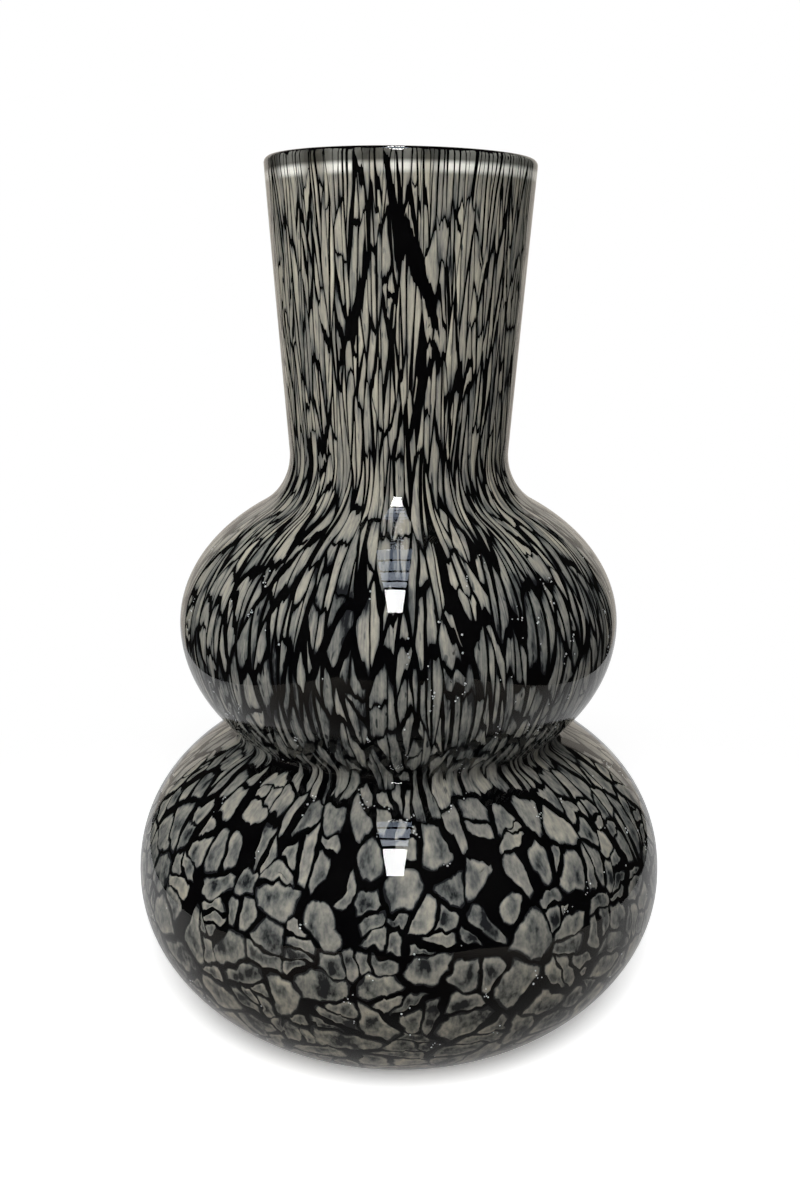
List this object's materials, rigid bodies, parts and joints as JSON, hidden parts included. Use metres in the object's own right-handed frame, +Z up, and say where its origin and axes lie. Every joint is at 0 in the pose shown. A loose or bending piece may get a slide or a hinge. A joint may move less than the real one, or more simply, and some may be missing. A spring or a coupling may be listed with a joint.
{
  "type": "glass vase",
  "caption": "Blown glass vase with two stacked bulbs and a tall flared neck, cased crackle glass, for cut flowers or display.",
  "frame": {"origin": "centre of the foot, on the plane that the vase stands on", "axes": "+Z up along the axis of the vase towards the mouth; the vase is turned, so +X and +Y are free"},
  "size_m": [0.2112, 0.2112, 0.3397],
  "materials": {
    "clear_glass": "clear, fire polished",
    "pale_glass": "pale warm grey, broken into flakes",
    "black_glass": "opaque black, glossy"
  },
  "bodies": {
    "root": {"clear_casing": "clear_glass", "crackle_skin": "pale_glass", "black_liner": "black_glass"}
  },
  "joints": []
}
